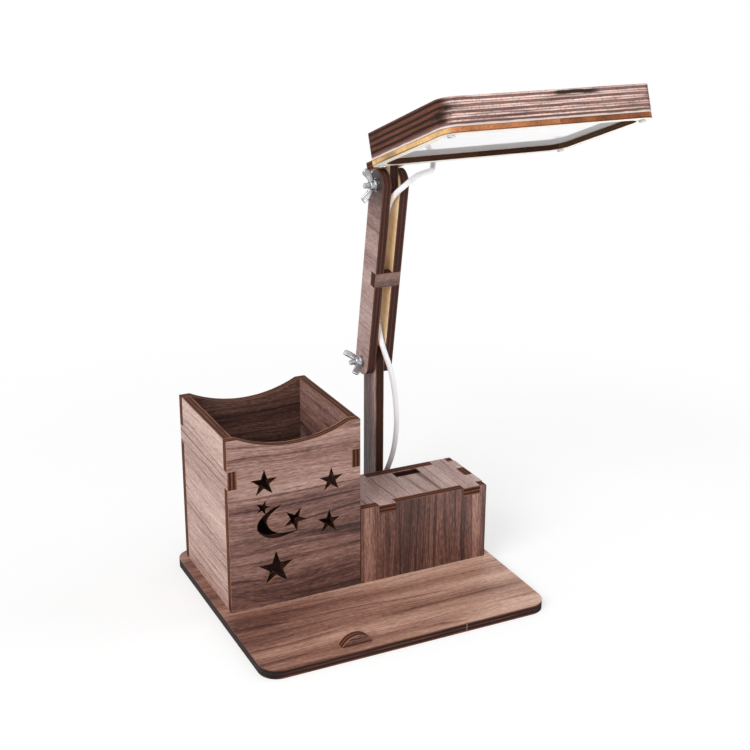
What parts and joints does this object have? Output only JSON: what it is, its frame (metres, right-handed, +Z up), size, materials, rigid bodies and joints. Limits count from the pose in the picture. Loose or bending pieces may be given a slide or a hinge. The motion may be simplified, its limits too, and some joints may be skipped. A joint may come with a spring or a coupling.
{
  "type": "desk lamp with pen holder",
  "caption": "Plywood desk lamp: flat light head on a folding arm, square pen holder with star and crescent cut-outs, lidded battery box and phone stop on one base.",
  "frame": {"origin": "middle of the base plate's underside", "axes": "+Z up, +X to the user's right, +Y to the back"},
  "size_m": [0.2186, 0.142, 0.2756],
  "materials": {
    "walnut_plywood": "walnut face, burnt cut edges",
    "head_plywood": "walnut face, burnt cut edges",
    "bare_plywood": "bare",
    "diffuser": "milky",
    "plated_steel": "zinc plated",
    "cast_zinc": "matt cast",
    "circuit_board": "white mask",
    "led": "phosphor",
    "black_plastic": "moulded",
    "cell_can": "plain wrapped can",
    "contact_steel": "nickel plated",
    "switch_steel": "tin plated",
    "grommet_rubber": "moulded",
    "wire": "insulated",
    "lead_sleeve": "smooth sleeve"
  },
  "bodies": {
    "base": {"base_plate": "walnut_plywood", "phone_stop": "walnut_plywood", "pen_front_panel": "walnut_plywood", "pen_back_panel": "walnut_plywood", "pen_left_panel": "walnut_plywood", "pen_right_panel": "walnut_plywood", "box_front_panel": "walnut_plywood", "box_back_panel": "walnut_plywood", "box_left_panel": "walnut_plywood", "box_right_panel": "walnut_plywood", "post": "walnut_plywood", "switch_shelf": "bare_plywood", "lower_bolt": "plated_steel", "lower_washer": "plated_steel", "switch_screws": "plated_steel", "battery_tray": "black_plastic", "battery_cells": "cell_can", "battery_contacts": "contact_steel", "switch_body": "switch_steel", "box_grommet": "grommet_rubber", "box_wires": "wire", "lead_lower": "lead_sleeve"},
    "lid": {"box_lid": "walnut_plywood"},
    "arm": {"arm_left_plate": "walnut_plywood", "arm_right_plate": "walnut_plywood", "arm_bridge": "walnut_plywood", "upper_bolt": "plated_steel", "upper_washer": "plated_steel", "lead_middle": "lead_sleeve", "lead_upper": "lead_sleeve"},
    "head": {"head_tongue": "walnut_plywood", "head_hinge_plate": "walnut_plywood", "head_bottom_frame": "head_plywood", "head_diffuser": "diffuser", "head_lower_ring": "head_plywood", "head_middle_ring": "head_plywood", "head_upper_ring": "head_plywood", "head_top_cover": "head_plywood", "head_screws": "plated_steel", "led_board": "circuit_board", "leds": "led", "head_core": "wire"},
    "lower_wing_nut": {"lower_wing_nut": "cast_zinc"},
    "upper_wing_nut": {"upper_wing_nut": "cast_zinc"},
    "switch_knob": {"switch_knob": "black_plastic"}
  },
  "joints": [
    {"name": "arm_swing", "type": "hinge", "parent": "base", "child": "arm", "pos_m": [0.03075, 0.04075, 0.116], "axis": [1, 0, 0], "range_deg": [-30, 50], "deforming": ["lead_lower"]},
    {"name": "head_tilt", "type": "hinge", "parent": "arm", "child": "head", "pos_m": [0.03075, 0.02288, 0.21947], "axis": [1, 0, 0], "range_deg": [-35, 45], "deforming": ["lead_upper"]},
    {"name": "lower_wing_nut_turn", "type": "hinge", "parent": "base", "child": "lower_wing_nut", "pos_m": [0.03075, 0.04075, 0.116], "axis": [1, 0, 0], "continuous": true},
    {"name": "upper_wing_nut_turn", "type": "hinge", "parent": "arm", "child": "upper_wing_nut", "pos_m": [0.03075, 0.02288, 0.21947], "axis": [1, 0, 0], "continuous": true},
    {"name": "switch_slide", "type": "slide", "parent": "base", "child": "switch_knob", "axis": [1, 0, 0], "range_m": [0, 0.004]},
    {"name": "lid_lift", "type": "slide", "parent": "base", "child": "lid", "axis": [0, 0, 1], "range_m": [0, 0.04]}
  ]
}
